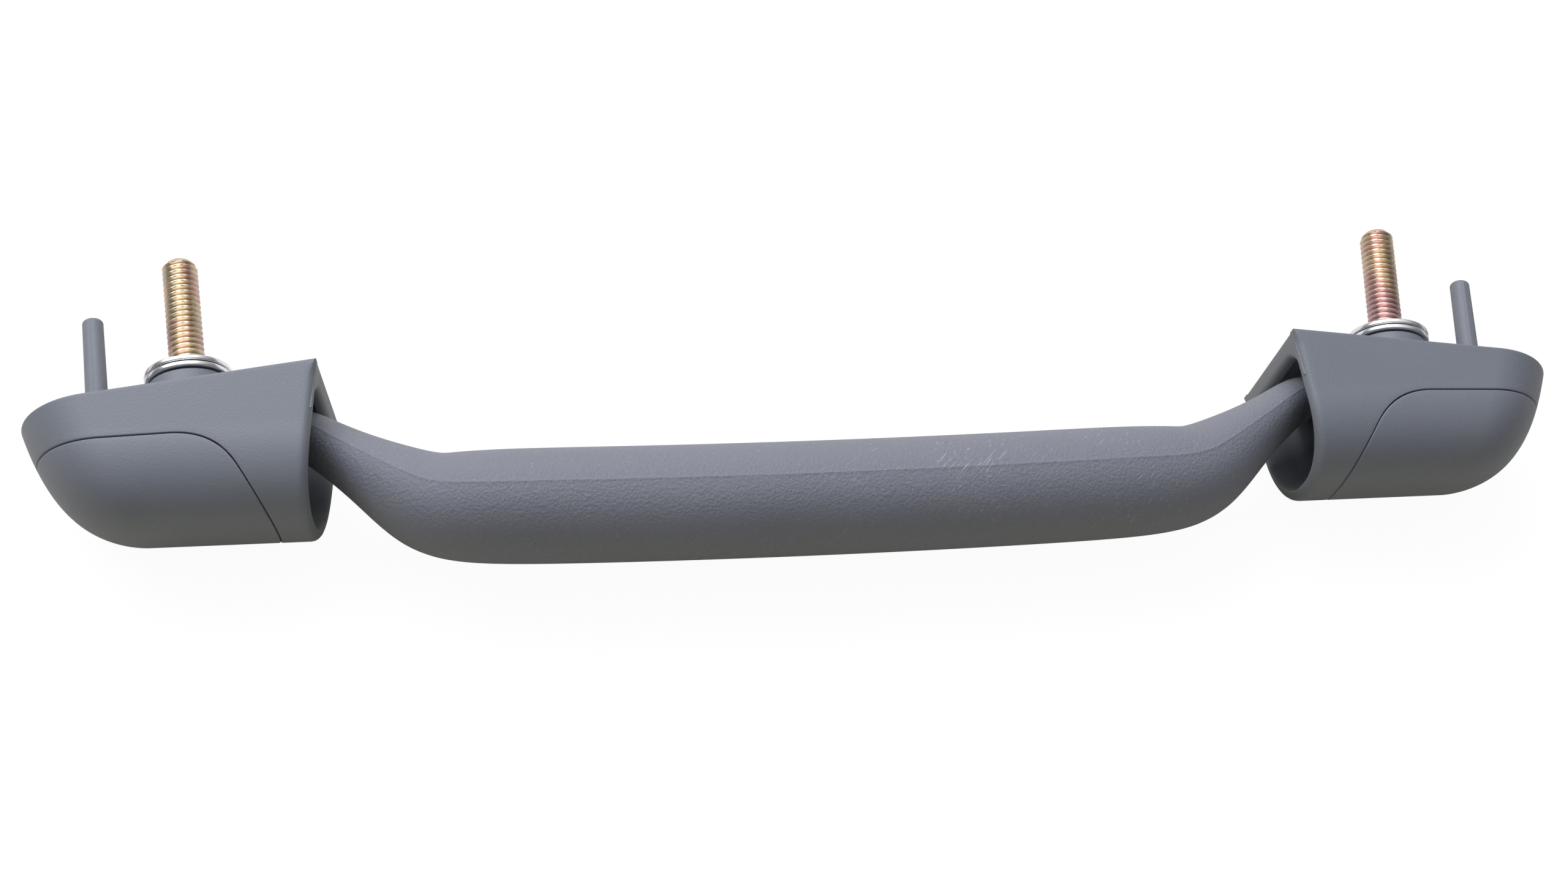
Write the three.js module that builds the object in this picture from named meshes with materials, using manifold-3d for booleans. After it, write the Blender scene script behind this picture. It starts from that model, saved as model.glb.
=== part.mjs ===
// An assist rail that bolts to a wall through a capped housing at each end.
// Millimetres. X runs along the rail, Y points into the wall and Z is up, with the
// origin on the wall side, midway between the housings. The right end is drawn for
// positive X, and the left end is its mirror image.
import * as THREE from "three";
import { mergeVertices } from "three/addons/utils/BufferGeometryUtils.js";
import Module from "manifold-3d";

const wasm = await Module();
wasm.setup();

const CLEARANCE = 0.3; // between pieces that touch on the real rail
const PAST = 100; // takes a cutting form past every surface

// Housings. Each mounting face slopes away from the wall towards the rail's end.
const INNER_X = 111.2; // from the rail's middle to the housing's inner end
const FACE_TILT = THREE.MathUtils.degToRad(7.6);
const RIM_HALF = 18.3; // half width at the mounting face
const SIDE_HALF = 17.4; // half width where the sides start to round over
const SIDE_DEPTH = 15.4;
const FRONT_DEPTH = 34.1;
const SECTION_POWER = 0.88; // 1 makes the front an ellipse, and less makes it squarer
const SLICE_DEPTHS = [-4, 3, 9, 12.5]; // level slices down the sides
const SLICE_DEGREES = [0, 14, 28, 42, 54, 65, 75, 84]; // and round the front
const CREST_X = 145; // where the front starts to fall away to the outer end
const END_REACH = 32.1; // from there to the outer end at the mounting face
const END_DROP = 8.95; // depth of the mounting face at the outer end
const END_POWER = 0.32;
const END_STEPS = 14;
const INNER_LEAN = 0.06; // how far the inner end leans out for each unit of depth
const OVERRUN = 6; // drawn past the inner end, then cut off
const WALL = 2.6;
const LIP_LENGTH = 2.4;
const LIP_HEIGHT = 4.2;
const LIP_RADIUS = 5;
const SHELF_END = 9.5; // behind the lip, a shelf covers the grip's arm
const SHELF_TOP = -1;
const SHELF_BOTTOM = -2.9;
const SHELF_HALF = 13;
const RIB = 2;
const RIB_RISE = 2; // above the web
const WEB_START = 10.5; // from the inner end

// Layers under the mounting face, as heights above it.
const BOSS_TOP = 7.6;
const WEB_TOP = -3.1;
const WEB_BOTTOM = -6.1;
const STRAP_TOP = WEB_BOTTOM - CLEARANCE;
const STRAP_THICKNESS = 4;
const BOLT_SEAT = STRAP_TOP - STRAP_THICKNESS - CLEARANCE;

// Bolt, 5/16 inch by 2 inches, with its washers, spacer and locating peg.
const BOLT_U = 30.5; // from the housing's inner end, along the mounting face
const BOLT_R = 3.97;
const BOLT_LENGTH = 50.8;
const FLANGE_R = 8.6;
const FLANGE_THICKNESS = 1.6;
const HEX_ACROSS_FLATS = 12.7;
const HEAD_HEIGHT = 7.9;
const POINT_LENGTH = 1;
const BOSS_R = 9;
const BORE_R = 6.3;
const SPACER_R = 6;
const SPACER_BORE_R = 4.3;
const WASHER_R = 9.6;
const WASHER_BORE_R = 4.4;
const WASHER_THICKNESS = 1.2;
const PEG_U = 50.7;
const PEG_HEIGHT = 28.1;
const PEG_FOOT_R = 4.5;
const PEG_ROOT_R = 2.5;
const PEG_TIP_R = 2.3;

// Parting line between housing and cap.
const PARTING_BEND = new THREE.Vector2(132, -16.1);
const PARTING_BEND_LENGTH = 9.5;
const PARTING_FALL = THREE.MathUtils.degToRad(2.2); // towards the outer end
const PARTING_SLOPE = THREE.MathUtils.degToRad(58);
const TONGUE_X = 150;
const TONGUE_WIDTH = 8;
const TONGUE_THICKNESS = 1.6;
const TONGUE_RISE = 3.8;
const TONGUE_ROOT = 5;

// Grip. Its middle line bows gently and rises in an arm at each end.
const GRIP_Y = -30.3;
const BOW = 1.17; // rise of the bow at BOW_X
const BOW_X = 80;
const ARM_X = 87.2;
const ARM_SLOPE = 0.63;
const ARM_SOFTNESS = 2.7;
const SHOULDER_X = 115.9; // where the arm levels off, along the mounting face
const SHOULDER_SOFTNESS = 1.2;
const COVER_END = 119;
const TAPER_X = 97;
const TAPER_SOFTNESS = 7.2;
const NECK = { thick: 4.7, deep: 8 }; // half sizes of the section
const PALM = { thick: 12.95, deep: 14 };
const SECTION_POINTS = 20;
const STRAIGHT_X = 72; // the middle stretch, which needs few stations

// Steel strap inside the grip.
const STRAP_BEND = new THREE.Vector2(SHOULDER_X, -9.1);
const STRAP_BEND_LENGTH = 4;
const STRAP_HALF = 9; // half width in the grip
const STRAP_NECK_HALF = 5.2; // half width in the arms
const STRAP_NARROWS = [86, 98]; // where it goes from the one to the other
const EYE_R = 10.5;
const EYE_SHIFT = -2; // the eye's centre, from the bolt
const EYE_OVERHANG = 10;
const EYE_BORE_R = 4.4;

const PLASTIC = new THREE.MeshStandardMaterial({
  color: 0x5f646e,
  roughness: 0.6,
  metalness: 0,
  flatShading: true,
});
const SOFT_PLASTIC = new THREE.MeshStandardMaterial({
  color: 0x646973,
  roughness: 0.55,
  metalness: 0,
  flatShading: true,
});
const YELLOW_ZINC = new THREE.MeshStandardMaterial({
  color: 0xb99a58,
  roughness: 0.3,
  metalness: 1,
  flatShading: true,
});
const BRIGHT_ZINC = new THREE.MeshStandardMaterial({
  color: 0xc9ccd2,
  roughness: 0.3,
  metalness: 1,
  flatShading: true,
});
const STEEL = new THREE.MeshStandardMaterial({
  color: 0x8b8e92,
  roughness: 0.45,
  metalness: 1,
  flatShading: true,
});

function solid(geometry) {
  const bare = geometry.clone();
  bare.deleteAttribute("normal");
  bare.deleteAttribute("uv");
  const merged = mergeVertices(bare, 1e-4);
  return new wasm.Manifold(
    new wasm.Mesh({
      numProp: 3,
      vertProperties: merged.attributes.position.array,
      triVerts: new Uint32Array(merged.index.array),
    }),
  );
}

function named(name, made, material) {
  const surface = made.getMesh();
  const geometry = new THREE.BufferGeometry();
  geometry.setAttribute("position", new THREE.BufferAttribute(surface.vertProperties, 3));
  geometry.setIndex(new THREE.BufferAttribute(surface.triVerts, 1));
  geometry.computeVertexNormals();
  const mesh = new THREE.Mesh(geometry, material);
  mesh.name = name;
  return mesh;
}

// A solid box between two corners.
function block(low, high) {
  const size = high.map((value, i) => value - low[i]);
  const geometry = new THREE.BoxGeometry(...size);
  geometry.translate(low[0] + size[0] / 2, low[1] + size[1] / 2, low[2] + size[2] / 2);
  return solid(geometry);
}

// A solid of revolution about an axis along Y through (x, 0).
function turned(x, bottom, top, bottomR, topR = bottomR, segments = 32) {
  const geometry = new THREE.CylinderGeometry(topR, bottomR, top - bottom, segments);
  geometry.translate(x, (bottom + top) / 2, 0);
  return solid(geometry);
}

// Moves a geometry drawn on the rail's axes into the right housing's own frame: its
// origin at the inner end of the mounting face, X along the face and Y out of it.
function toFace(geometry) {
  return geometry.translate(-INNER_X, 0, 0).rotateZ(FACE_TILT);
}

// Skins a closed solid over rings of points. The rings follow one another along an
// axis, and each runs anticlockwise as seen looking back along it.
function loft(rings) {
  const count = rings[0].length;
  const points = rings.flat();
  const faces = [];
  for (let r = 0; r < rings.length - 1; r++) {
    for (let i = 0; i < count; i++) {
      const a = r * count + i;
      const b = r * count + ((i + 1) % count);
      faces.push(a, b, b + count, a, b + count, a + count);
    }
  }
  const last = (rings.length - 1) * count;
  for (const [ring, start, turn] of [[rings[0], 0, -1], [rings.at(-1), last, 1]]) {
    const middle = ring.reduce((sum, p) => sum.add(p), new THREE.Vector3());
    const hub = points.push(middle.divideScalar(count)) - 1;
    for (let i = 0; i < count; i++) {
      const pair = [start + i, start + ((i + 1) % count)];
      faces.push(hub, ...(turn > 0 ? pair : pair.reverse()));
    }
  }
  const geometry = new THREE.BufferGeometry().setFromPoints(points);
  geometry.setIndex(faces);
  return geometry;
}

// The housing's outer form, or the form that lies the given inset inside it: level
// slices with a flat inner end and a round outer one, from above the mounting face
// down to the front.
function hull(inset) {
  const front = FRONT_DEPTH - inset;
  const round = front - SIDE_DEPTH;
  const rounded = SLICE_DEGREES.map(
    (degrees) =>
      SIDE_DEPTH + round * Math.sin(THREE.MathUtils.degToRad(degrees)) ** SECTION_POWER,
  );
  const slices = [...SLICE_DEPTHS, ...rounded].map((depth) => {
    const draft = RIM_HALF + ((SIDE_HALF - RIM_HALF) * depth) / SIDE_DEPTH;
    const rounding = Math.max(depth - SIDE_DEPTH, 0) / round;
    const section = (1 - rounding ** (2 / SECTION_POWER)) ** (SECTION_POWER / 2);
    const half = (Math.max(draft, SIDE_HALF) - inset) * section;
    const fall = 1 - (depth - END_DROP) / (front - END_DROP);
    const outer = CREST_X + (END_REACH - inset) * fall ** END_POWER;
    const slice = [];
    for (let i = 0; i <= END_STEPS; i++) {
      const angle = -Math.PI / 2 + (Math.PI * i) / END_STEPS;
      const x = outer - half + half * Math.cos(angle);
      slice.push(new THREE.Vector3(x, -depth, half * Math.sin(angle)));
    }
    slice.push(new THREE.Vector3(INNER_X - OVERRUN, -depth, half));
    slice.push(new THREE.Vector3(INNER_X - OVERRUN, -depth, -half));
    return slice;
  });
  return toFace(loft(slices));
}

// What lies beyond the parting line, on the cap's side of it.
function capZone(gap) {
  const inward = new THREE.Vector2(-Math.cos(PARTING_SLOPE), -Math.sin(PARTING_SLOPE));
  const outward = new THREE.Vector2(Math.cos(PARTING_FALL), -Math.sin(PARTING_FALL));
  const middle = inward.clone().add(outward).normalize();
  const spread = (Math.PI - PARTING_SLOPE + PARTING_FALL) / 2;
  const corner = PARTING_BEND.clone().addScaledVector(middle, gap / Math.sin(spread));
  const start = corner.clone().addScaledVector(outward, PARTING_BEND_LENGTH);
  const slant = corner.clone().addScaledVector(inward, PARTING_BEND_LENGTH);
  const end = corner.clone().addScaledVector(outward, PAST);
  const foot = corner.clone().addScaledVector(inward, PAST / 2);
  const outline = new THREE.Shape();
  outline.moveTo(end.x, end.y);
  outline.lineTo(start.x, start.y);
  outline.quadraticCurveTo(corner.x, corner.y, slant.x, slant.y);
  outline.lineTo(foot.x, foot.y);
  outline.lineTo(end.x, foot.y);
  const geometry = new THREE.ExtrudeGeometry(outline, {
    depth: PAST,
    bevelEnabled: false,
    curveSegments: 10,
  });
  return solid(toFace(geometry.translate(0, 0, -PAST / 2)));
}

// The opening in the inner end, which lets the grip in: square to the front and
// round-cornered under the lip.
function arch() {
  const half = RIM_HALF - WALL - CLEARANCE;
  const spring = -LIP_HEIGHT - LIP_RADIUS;
  const outline = new THREE.Shape();
  outline.moveTo(-half, -PAST);
  outline.lineTo(half, -PAST);
  outline.absarc(half - LIP_RADIUS, spring, LIP_RADIUS, 0, Math.PI / 2);
  outline.absarc(LIP_RADIUS - half, spring, LIP_RADIUS, Math.PI / 2, Math.PI);
  const tunnel = new THREE.ExtrudeGeometry(outline, {
    depth: PAST,
    bevelEnabled: false,
    curveSegments: 6,
  });
  return solid(tunnel.rotateY(Math.PI / 2).translate(-PAST / 2, 0, 0));
}

// The wall between the housing's outer form and its hollow, which opens towards the
// wall of the building and, through the arch, towards the grip.
function shell() {
  const lip = block([-PAST, -PAST, -PAST], [LIP_LENGTH, PAST, PAST]).subtract(arch());
  const hollow = solid(hull(WALL)).subtract(lip);
  const beyond = new THREE.BoxGeometry(PAST, 2 * PAST, PAST).translate(-PAST / 2, 0, 0);
  beyond.rotateZ(Math.atan(INNER_LEAN) + FACE_TILT);
  const above = block([-PAST, 0, -PAST], [PAST, PAST, PAST]);
  return solid(hull(0)).subtract(above).subtract(solid(beyond)).subtract(hollow);
}

// Web, ribs, boss and locating peg, which stand inside the shell.
function inside() {
  const ribTop = WEB_TOP + RIB_RISE;
  const web = block([0, WEB_BOTTOM, -PAST], [PAST, WEB_TOP, PAST]);
  let frame = web.add(block([0, WEB_BOTTOM, -RIB / 2], [PAST, ribTop, RIB / 2]));
  for (const u of [BOLT_U, PEG_U]) {
    frame = frame.add(block([u - RIB / 2, WEB_BOTTOM, -PAST], [u + RIB / 2, ribTop, PAST]));
  }
  const room = block([WEB_START, -PAST, -PAST], [PAST, 0, PAST]).intersect(solid(hull(WALL / 2)));
  const boss = turned(BOLT_U, WEB_BOTTOM, BOSS_TOP, BOSS_R + CLEARANCE, BOSS_R);
  const root = WEB_BOTTOM + 1;
  const shoulder = PEG_HEIGHT - 1;
  const peg = turned(PEG_U, root, shoulder, PEG_ROOT_R, PEG_TIP_R, 20);
  const pegPoint = turned(PEG_U, shoulder, PEG_HEIGHT, PEG_TIP_R, PEG_TIP_R - 1, 20);
  const pegFoot = turned(PEG_U, root, 1, PEG_FOOT_R, PEG_ROOT_R, 20);
  const shelf = block(
    [LIP_LENGTH - 0.5, SHELF_BOTTOM, -SHELF_HALF],
    [SHELF_END, SHELF_TOP, SHELF_HALF],
  );
  return frame.intersect(room).add(boss).add(peg).add(pegPoint).add(pegFoot).add(shelf);
}

function housing() {
  const bore = turned(BOLT_U, WEB_BOTTOM - 1, BOSS_TOP + 1, BORE_R);
  return shell().subtract(capZone(0)).add(inside()).subtract(bore);
}

// The cap, with a tongue up inside each side wall of the housing.
function cap() {
  const half = SIDE_HALF - WALL - CLEARANCE;
  const height = TONGUE_RISE + TONGUE_ROOT;
  let made = shell().intersect(capZone(CLEARANCE));
  for (const side of [1, -1]) {
    const tongue = new THREE.BoxGeometry(TONGUE_WIDTH, height, TONGUE_THICKNESS);
    const z = side * (half - TONGUE_THICKNESS / 2);
    tongue.translate(TONGUE_X, PARTING_BEND.y - TONGUE_ROOT + height / 2, z);
    made = made.add(solid(toFace(tongue)));
  }
  return made;
}

function bolt() {
  const tip = BOLT_SEAT + BOLT_LENGTH;
  const hexR = HEX_ACROSS_FLATS / 2 / Math.cos(Math.PI / 6);
  const head = BOLT_SEAT - HEAD_HEIGHT;
  const flange = turned(0, BOLT_SEAT - FLANGE_THICKNESS, BOLT_SEAT, FLANGE_R);
  const hex = turned(0, head, BOLT_SEAT - FLANGE_THICKNESS / 2, hexR, hexR, 6);
  const shank = turned(0, BOLT_SEAT - 1, tip - POINT_LENGTH, BOLT_R, BOLT_R, 24);
  const point = turned(0, tip - POINT_LENGTH, tip, BOLT_R, BOLT_R - POINT_LENGTH, 24);
  return shank.add(point).add(flange).add(hex);
}

// A ring about the bolt, from one height above the mounting face to another.
function ring(bottom, top, outerR, boreR) {
  return turned(0, bottom, top, outerR).subtract(turned(0, bottom - 1, top + 1, boreR));
}

// A rise that starts softly at zero and becomes a straight line of slope one.
function softRise(distance, softness) {
  return softness * Math.log(1 + Math.exp(distance / softness));
}

// Height of the grip's middle line at x.
function gripY(x) {
  const arm = softRise(Math.abs(x) - ARM_X, ARM_SOFTNESS);
  const level = softRise(Math.abs(x) - SHOULDER_X, SHOULDER_SOFTNESS);
  const bow = BOW * (x / BOW_X) ** 2;
  return GRIP_Y + bow + ARM_SLOPE * arm - (ARM_SLOPE + Math.tan(FACE_TILT)) * level;
}

// Half sizes of the grip's section at x, which taper from the palm to the neck.
function gripSection(x) {
  const share = 1 / (1 + Math.exp((Math.abs(x) - TAPER_X) / TAPER_SOFTNESS));
  return {
    thick: THREE.MathUtils.lerp(NECK.thick, PALM.thick, share),
    deep: THREE.MathUtils.lerp(NECK.deep, PALM.deep, share),
  };
}

// Stations along half of the grip, closer together where it bends.
function gripStations(end) {
  const stations = [0, 0.25, 0.5, 0.75].map((share) => share * STRAIGHT_X);
  const steps = 13;
  for (let i = 0; i <= steps; i++) {
    stations.push(THREE.MathUtils.lerp(STRAIGHT_X, end, i / steps));
  }
  return stations;
}

function mirrored(half) {
  return [...half.slice(1).reverse().map((x) => -x), ...half];
}

function gripCover() {
  const rings = mirrored(gripStations(COVER_END)).map((x) => {
    const { thick, deep } = gripSection(x);
    const slope = (gripY(x + 0.1) - gripY(x - 0.1)) / 0.2;
    const normal = new THREE.Vector3(-slope, 1, 0).normalize();
    const ringPoints = [];
    for (let i = 0; i < SECTION_POINTS; i++) {
      const angle = (2 * Math.PI * i) / SECTION_POINTS;
      const p = normal.clone().multiplyScalar(thick * Math.cos(angle));
      ringPoints.push(p.add(new THREE.Vector3(x, gripY(x), deep * Math.sin(angle))));
    }
    return ringPoints;
  });
  return solid(loft(rings)).subtract(strapForm(CLEARANCE));
}

// The middle line of half the strap, seen from above: along the grip, then along the
// mounting face as far as the eye.
function strapLine(gap) {
  const half = gripStations(STRAP_BEND.x - STRAP_BEND_LENGTH);
  const line = half.map((x) => new THREE.Vector2(x, gripY(x)));
  const tab = new THREE.Vector2(Math.cos(FACE_TILT), -Math.sin(FACE_TILT));
  const tabStart = STRAP_BEND.clone().addScaledVector(tab, STRAP_BEND_LENGTH);
  const tabEnd = STRAP_BEND.clone().addScaledVector(tab, BOLT_U + EYE_OVERHANG + gap);
  const bend = new THREE.QuadraticBezierCurve(line.at(-1), STRAP_BEND, tabStart);
  return [...line, ...bend.getPoints(6).slice(1), tabEnd];
}

// A quarter of the strap's outline, seen from the wall: half its width at each x.
function strapWidths() {
  const [wide, narrow] = STRAP_NARROWS;
  const eyeX = INNER_X + BOLT_U + EYE_SHIFT;
  const widths = [
    [0, STRAP_HALF],
    [wide, STRAP_HALF],
    [narrow, STRAP_NECK_HALF],
    [INNER_X + WEB_START, STRAP_NECK_HALF],
  ];
  for (let degrees = 135; degrees >= 0; degrees -= 15) {
    const angle = THREE.MathUtils.degToRad(degrees);
    widths.push([eyeX + EYE_R * Math.cos(angle), EYE_R * Math.sin(angle)]);
  }
  return widths;
}

// The strap's form, grown by a gap all round: the bent strip seen from above, cut to
// its outline as seen from the wall.
function strapForm(gap) {
  const half = strapLine(gap);
  const whole = [...half.slice(1).reverse().map((p) => new THREE.Vector2(-p.x, p.y)), ...half];
  const edge = (side) =>
    whole.map((p, i) => {
      const before = whole[Math.max(i - 1, 0)];
      const after = whole[Math.min(i + 1, whole.length - 1)];
      const along = after.clone().sub(before).normalize();
      const normal = new THREE.Vector2(-along.y, along.x);
      return p.clone().addScaledVector(normal, side * (STRAP_THICKNESS / 2 + gap));
    });
  const profile = new THREE.Shape([...edge(-1), ...edge(1).reverse()]);
  const strip = new THREE.ExtrudeGeometry(profile, { depth: PAST, bevelEnabled: false });
  const quarter = strapWidths();
  const upper = [...quarter.slice(1).reverse().map(([x, z]) => [-x, z]), ...quarter];
  const around = [...upper, ...upper.slice(1, -1).reverse().map(([x, z]) => [x, -z])];
  const outline = new THREE.Shape(
    around.map(([x, z]) => new THREE.Vector2(x, z + Math.sign(z) * gap)),
  );
  const plate = new THREE.ExtrudeGeometry(outline, { depth: PAST, bevelEnabled: false });
  strip.translate(0, 0, -PAST / 2);
  plate.rotateX(Math.PI / 2).translate(0, PAST / 2, 0);
  return solid(strip).intersect(solid(plate));
}

function gripCore() {
  let made = strapForm(0);
  for (const side of [1, -1]) {
    const hole = new THREE.CylinderGeometry(EYE_BORE_R, EYE_BORE_R, PAST, 32);
    hole.translate(BOLT_U, 0, 0).rotateZ(-FACE_TILT).translate(INNER_X, 0, 0);
    if (side < 0) hole.rotateY(Math.PI);
    made = made.subtract(solid(hole));
  }
  return made;
}

// Everything at one end of the rail, in the housing's own frame.
function endParts(side) {
  const face = new THREE.Group();
  face.position.x = INNER_X;
  face.rotation.z = -FACE_TILT;
  face.add(named(`${side}_housing`, housing(), PLASTIC));
  face.add(named(`${side}_cap`, cap(), PLASTIC));
  const onBolt = new THREE.Group();
  onBolt.position.x = BOLT_U;
  face.add(onBolt);
  onBolt.add(named(`${side}_bolt`, bolt(), YELLOW_ZINC));
  const spacer = ring(WEB_BOTTOM, BOSS_TOP, SPACER_R, SPACER_BORE_R);
  onBolt.add(named(`${side}_spacer`, spacer, STEEL));
  const step = WASHER_THICKNESS + CLEARANCE;
  ["inner", "outer"].forEach((which, i) => {
    const bottom = BOSS_TOP + CLEARANCE + i * step;
    const washer = ring(bottom, bottom + WASHER_THICKNESS, WASHER_R, WASHER_BORE_R);
    onBolt.add(named(`${side}_${which}_washer`, washer, BRIGHT_ZINC));
  });
  return face;
}

const rail = new THREE.Group();
rail.add(named("grip_cover", gripCover(), SOFT_PLASTIC));
rail.add(named("grip_core", gripCore(), STEEL));
rail.add(endParts("right"));
const leftEnd = new THREE.Group();
leftEnd.scale.x = -1;
leftEnd.add(endParts("left"));
rail.add(leftEnd);

export default rail;
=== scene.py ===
# %% [markdown]
# # A bed assist rail, dressed around its CAD frame
#
# The CAD model holds every size, fit and moving joint of the rail. This script keeps
# those as they are and gives the rail its looks: rounded edges, a thread, moulded
# grain, plating, light and a camera.
#
# Each step starts with a note such as this one, which says what the piece is on the
# real rail, how it could be made, and why this way was chosen.

# %% Load the frame
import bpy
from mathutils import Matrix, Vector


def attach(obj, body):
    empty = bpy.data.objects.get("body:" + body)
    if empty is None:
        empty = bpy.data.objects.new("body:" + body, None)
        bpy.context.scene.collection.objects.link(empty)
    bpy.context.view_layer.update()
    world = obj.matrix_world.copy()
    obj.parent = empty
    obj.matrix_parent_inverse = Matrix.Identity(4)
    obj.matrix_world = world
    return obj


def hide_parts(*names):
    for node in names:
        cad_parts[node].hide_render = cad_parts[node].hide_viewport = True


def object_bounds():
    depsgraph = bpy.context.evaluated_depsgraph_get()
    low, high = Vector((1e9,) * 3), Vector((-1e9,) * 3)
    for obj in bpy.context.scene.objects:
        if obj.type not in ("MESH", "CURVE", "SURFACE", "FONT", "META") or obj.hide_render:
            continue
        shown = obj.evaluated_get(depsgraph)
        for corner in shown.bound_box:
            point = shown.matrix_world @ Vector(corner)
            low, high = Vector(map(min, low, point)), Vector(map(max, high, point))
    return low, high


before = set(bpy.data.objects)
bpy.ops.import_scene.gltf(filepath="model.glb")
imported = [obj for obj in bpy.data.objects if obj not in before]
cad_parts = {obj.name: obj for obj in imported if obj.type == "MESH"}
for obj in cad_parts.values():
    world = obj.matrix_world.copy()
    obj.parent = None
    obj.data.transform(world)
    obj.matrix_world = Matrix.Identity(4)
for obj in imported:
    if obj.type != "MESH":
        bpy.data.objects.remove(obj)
cad_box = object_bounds()

# %% Helpers from Blender and numpy
import bmesh
import bpy
import numpy as np
from mathutils import Matrix, Vector

MM = 0.001  # the formulas below are in millimetres, and Blender works in metres

# %% [markdown]
# ## Camera
#
# The camera comes first, because every later choice is judged through it. A camera
# can be aimed with a tracking constraint, but a turned frame is easier to keep exact:
# its three columns are the directions to its right, upwards and backwards. The camera
# looks down at the rail from in front of it, a little to its left and slightly rolled.

# %% Camera
CAMERA_PLACE = Vector((-0.0498, -0.1854, 0.3611))
LOOKS_ALONG = Vector((0.1048, 0.4220, -0.9005)).normalized()
UPWARDS = Vector((0.0361, 0.9033, 0.4275))
FOCAL_LENGTH = 39.88  # in mm, on a sensor 36 mm wide

camera = bpy.data.objects.new("camera", bpy.data.cameras.new("camera"))
bpy.context.scene.collection.objects.link(camera)
to_right = LOOKS_ALONG.cross(UPWARDS).normalized()
up = to_right.cross(LOOKS_ALONG)
axes = Matrix((to_right, up, -LOOKS_ALONG)).transposed()
camera.matrix_world = Matrix.Translation(CAMERA_PLACE) @ axes.to_4x4()
camera.data.lens = FOCAL_LENGTH
camera.data.sensor_width = 36
camera.data.clip_start = 0.01
bpy.context.scene.camera = camera
print("camera at", [round(v, 3) for v in camera.location])

# %% [markdown]
# ## Meshes from arrays
#
# A mesh can be drawn by hand, turned from a profile, or worked out. Moulded shells
# follow smooth formulas, so here each surface is a grid of points that numpy works
# out at once, and neighbouring grids share their edge points. Welding those points
# closes the skin, and recalculating the normals turns every face outwards. The right
# end is drawn, and the left end is its mirror image.

# %% Grids, welding and pieces
WELD = 2e-6  # points closer than this are one point
SHARP = np.radians(35)  # edges bent more than this are drawn crisp


def grid_faces(rows, columns, start=0, closed=False):
    """Quads between neighbouring rows and columns of a grid of points. When closed,
    the last column joins the first."""
    row = np.arange(rows - 1)[:, None]
    column = np.arange(columns if closed else columns - 1)[None, :]
    after = (column + 1) % columns
    corners = [row * columns + column, row * columns + after,
               (row + 1) * columns + after, (row + 1) * columns + column]
    return start + np.stack(np.broadcast_arrays(*corners), -1).reshape(-1, 4)


def skin(*grids, closed=False):
    """Joins several grids of points, each (rows, columns, 3), as points and quads."""
    points, faces, start = [], [], 0
    for grid in grids:
        rows, columns = grid.shape[:2]
        points.append(grid.reshape(-1, 3))
        faces.append(grid_faces(rows, columns, start, closed))
        start += rows * columns
    return np.concatenate(points), np.concatenate(faces)


def both_halves(points, faces):
    """Adds the mirror image across the rail's middle plane, where the width is zero."""
    far = points * [1, 1, -1]
    return np.concatenate([points, far]), np.concatenate([faces, faces + len(points)])


def mesh_from(name, points, faces, side=1, attribute=None):
    """Makes a mesh in metres, welds it and turns its faces outwards. side is -1 for
    the left end. attribute is a pair, a name and one number for each point."""
    mesh = bpy.data.meshes.new(name)
    mesh.from_pydata((points * [side * MM, MM, MM]).tolist(), [], faces.tolist())
    if attribute is not None:
        layer = mesh.attributes.new(attribute[0], "FLOAT", "POINT")
        layer.data.foreach_set("value", np.ascontiguousarray(attribute[1], np.float32))
    work = bmesh.new()
    work.from_mesh(mesh)
    bmesh.ops.remove_doubles(work, verts=work.verts, dist=WELD)
    bmesh.ops.holes_fill(work, edges=work.edges)
    bmesh.ops.recalc_face_normals(work, faces=work.faces)
    if work.calc_volume(signed=True) < 0:
        bmesh.ops.reverse_faces(work, faces=work.faces)
    work.to_mesh(mesh)
    work.free()
    mesh.shade_smooth()
    mesh.set_sharp_from_angle(angle=SHARP)
    return mesh


def place(mesh, finish, body, slot, *nodes):
    """Puts a finished mesh in the scene, on its body and in place of its CAD nodes."""
    piece = bpy.data.objects.new(mesh.name, mesh)
    bpy.context.scene.collection.objects.link(piece)
    mesh.materials.clear()
    mesh.materials.append(finish)
    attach(piece, body)
    if nodes:
        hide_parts(*nodes)
    print(f"{mesh.name}: {len(mesh.polygons)} faces")


def joined(name, parts, cutters=()):
    """One solid from several overlapping ones, less what the cutters take away. Exact
    booleans leave no face buried inside the plastic."""
    solids = [bpy.data.objects.new(mesh.name, mesh) for mesh in (*parts, *cutters)]
    for solid in solids:
        bpy.context.scene.collection.objects.link(solid)
    first = solids[0]
    for index, other in enumerate(solids[1:], start=1):
        boolean = first.modifiers.new(other.name, "BOOLEAN")
        boolean.operation = "UNION" if index < len(parts) else "DIFFERENCE"
        boolean.solver = "EXACT"
        boolean.object = other
    bpy.context.view_layer.update()
    graph = bpy.context.evaluated_depsgraph_get()
    mesh = bpy.data.meshes.new_from_object(first.evaluated_get(graph))
    mesh.name = name
    for solid in solids:
        old = solid.data
        bpy.data.objects.remove(solid)
        bpy.data.meshes.remove(old)
    mesh.shade_smooth()
    mesh.set_sharp_from_angle(angle=SHARP)
    return mesh


print("helpers ready")

# %% [markdown]
# ## Node helpers
#
# A finish is a small network of nodes. Writing each network by hand in the editor
# works, but two short helpers that add a node and link its inputs keep the recipe
# readable: a value that is a socket is linked, and any other value is typed in.

# %% Node helpers
def add_node(tree, kind, inputs=None, **settings):
    """Adds a node, sets its properties, and links or sets each named input."""
    made = tree.nodes.new(kind)
    for name, value in settings.items():
        setattr(made, name, value)
    for name, value in (inputs or {}).items():
        if isinstance(value, bpy.types.NodeSocket):
            tree.links.new(value, made.inputs[name])
        else:
            made.inputs[name].default_value = value
    return made


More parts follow.
